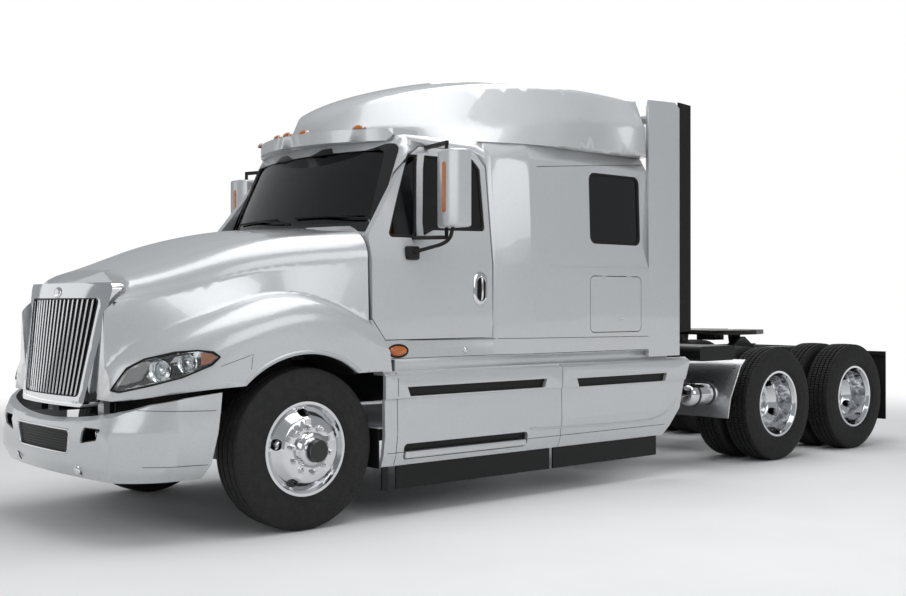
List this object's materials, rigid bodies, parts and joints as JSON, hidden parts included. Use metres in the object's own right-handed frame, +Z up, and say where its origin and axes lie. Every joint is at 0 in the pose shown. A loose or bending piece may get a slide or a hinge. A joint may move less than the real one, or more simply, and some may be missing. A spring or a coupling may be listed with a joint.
{
  "type": "semi truck tractor unit",
  "caption": "Conventional sleeper tractor with aerodynamic fairings, tilting hood, opening doors, steering, turning wheels and a tilting fifth wheel.",
  "frame": {"origin": "on the floor at the middle of the bounding box", "axes": "+Z up, the nose points along -Y, +X towards the driver's left side"},
  "size_m": [2.948, 8.34, 3.2515],
  "materials": {
    "painted_body": "silver white gloss paint",
    "frame_paint": "satin black chassis paint",
    "cast_iron": "as cast, painted grey",
    "radiator_core": "finned core",
    "glass": "tinted glass",
    "lamp_glass": "clear moulded lens",
    "lamp_inner": "bright reflector",
    "upholstery": "woven seat cloth",
    "dash_plastic": "grained dashboard moulding",
    "black_plastic": "moulded black plastic",
    "bright_trim": "chrome plate",
    "polished_metal": "polished aluminium",
    "black_rubber": "rubber sheet",
    "tail_lamp_red": "red lamp lens",
    "tyre": "tyre rubber"
  },
  "bodies": {
    "chassis": {"frame_rails": "frame_paint", "crossmembers": "frame_paint", "front_axle": "frame_paint", "drive_axles": "frame_paint", "bogie_suspension": "frame_paint", "engine": "cast_iron", "radiator": "radiator_core", "drive_shafts": "frame_paint", "cab_shell": "painted_body", "windscreen": "glass", "sleeper_shell": "painted_body", "sleeper_glass": "glass", "seats": "upholstery", "bunk": "upholstery", "dashboard": "dash_plastic", "roof_fairing": "painted_body", "sun_visor": "painted_body", "bumper": "painted_body", "fog_lamps": "black_plastic", "side_fairings": "painted_body", "fairing_trim": "black_plastic", "fuel_tanks": "polished_metal", "side_extenders": "painted_body", "extender_rubbers": "black_rubber", "deck": "black_plastic", "quarter_fenders": "polished_metal", "fifth_wheel_mount": "frame_paint", "mud_flaps": "black_rubber", "tail_lamps": "tail_lamp_red"},
    "hood": {"hood_shell": "painted_body", "grille_surround": "bright_trim", "grille_bars": "bright_trim", "headlamp_lenses": "lamp_glass", "headlamp_buckets": "lamp_inner", "fender_liners": "black_plastic"},
    "door_left": {"door_left": "painted_body", "door_glass_left": "glass", "mirror_left": "painted_body"},
    "door_right": {"door_right": "painted_body", "door_glass_right": "glass", "mirror_right": "painted_body"},
    "luggage_left": {"luggage_door_left": "painted_body"},
    "luggage_right": {"luggage_door_right": "painted_body"},
    "knuckle_left": {"knuckle_left": "frame_paint"},
    "knuckle_right": {"knuckle_right": "frame_paint"},
    "steer_wheel_left": {"steer_tyre_left": "tyre", "steer_wheel_left": "polished_metal"},
    "steer_wheel_right": {"steer_tyre_right": "tyre", "steer_wheel_right": "polished_metal"},
    "drive_wheels_front_left": {"drive_tyres_front_left": "tyre", "drive_wheels_front_left": "polished_metal"},
    "drive_wheels_front_right": {"drive_tyres_front_right": "tyre", "drive_wheels_front_right": "polished_metal"},
    "drive_wheels_rear_left": {"drive_tyres_rear_left": "tyre", "drive_wheels_rear_left": "polished_metal"},
    "drive_wheels_rear_right": {"drive_tyres_rear_right": "tyre", "drive_wheels_rear_right": "polished_metal"},
    "fifth_wheel": {"fifth_wheel_plate": "frame_paint"}
  },
  "joints": [
    {"name": "hood_tilt", "type": "hinge", "parent": "chassis", "child": "hood", "pos_m": [0, -4.12, 0.75], "axis": [1, 0, 0], "range_deg": [0, 72]},
    {"name": "door_left_swing", "type": "hinge", "parent": "chassis", "child": "door_left", "pos_m": [1.126, -2.375, 1.8], "axis": [0, 0, -1], "range_deg": [0, 70]},
    {"name": "door_right_swing", "type": "hinge", "parent": "chassis", "child": "door_right", "pos_m": [-1.126, -2.375, 1.8], "axis": [0, 0, 1], "range_deg": [0, 70]},
    {"name": "luggage_left_lift", "type": "hinge", "parent": "chassis", "child": "luggage_left", "pos_m": [1.19, -0.02, 1.642], "axis": [0, -1, 0], "range_deg": [0, 85]},
    {"name": "luggage_right_lift", "type": "hinge", "parent": "chassis", "child": "luggage_right", "pos_m": [-1.19, -0.02, 1.642], "axis": [0, 1, 0], "range_deg": [0, 85]},
    {"name": "steer_left", "type": "hinge", "parent": "chassis", "child": "knuckle_left", "pos_m": [0.93, -2.92, 0.515], "axis": [0, 0, 1], "range_deg": [-38, 38]},
    {"name": "steer_right", "type": "hinge", "parent": "chassis", "child": "knuckle_right", "pos_m": [-0.93, -2.92, 0.515], "axis": [0, 0, 1], "range_deg": [-38, 38]},
    {"name": "steer_wheel_left_spin", "type": "hinge", "parent": "knuckle_left", "child": "steer_wheel_left", "pos_m": [1.015, -2.92, 0.515], "axis": [1, 0, 0], "continuous": true},
    {"name": "steer_wheel_right_spin", "type": "hinge", "parent": "knuckle_right", "child": "steer_wheel_right", "pos_m": [-1.015, -2.92, 0.515], "axis": [1, 0, 0], "continuous": true},
    {"name": "drive_wheels_front_left_spin", "type": "hinge", "parent": "chassis", "child": "drive_wheels_front_left", "pos_m": [0.91, 2.225, 0.515], "axis": [1, 0, 0], "continuous": true},
    {"name": "drive_wheels_front_right_spin", "type": "hinge", "parent": "chassis", "child": "drive_wheels_front_right", "pos_m": [-0.91, 2.225, 0.515], "axis": [1, 0, 0], "continuous": true},
    {"name": "drive_wheels_rear_left_spin", "type": "hinge", "parent": "chassis", "child": "drive_wheels_rear_left", "pos_m": [0.91, 3.546, 0.515], "axis": [1, 0, 0], "continuous": true},
    {"name": "drive_wheels_rear_right_spin", "type": "hinge", "parent": "chassis", "child": "drive_wheels_rear_right", "pos_m": [-0.91, 3.546, 0.515], "axis": [1, 0, 0], "continuous": true},
    {"name": "fifth_wheel_tilt", "type": "hinge", "parent": "chassis", "child": "fifth_wheel", "pos_m": [0, 2.78, 1.065], "axis": [1, 0, 0], "range_deg": [-15, 11]}
  ],
  "couplings": [
    {"joint": "steer_right", "follows": "steer_left", "ratio": 1}
  ]
}
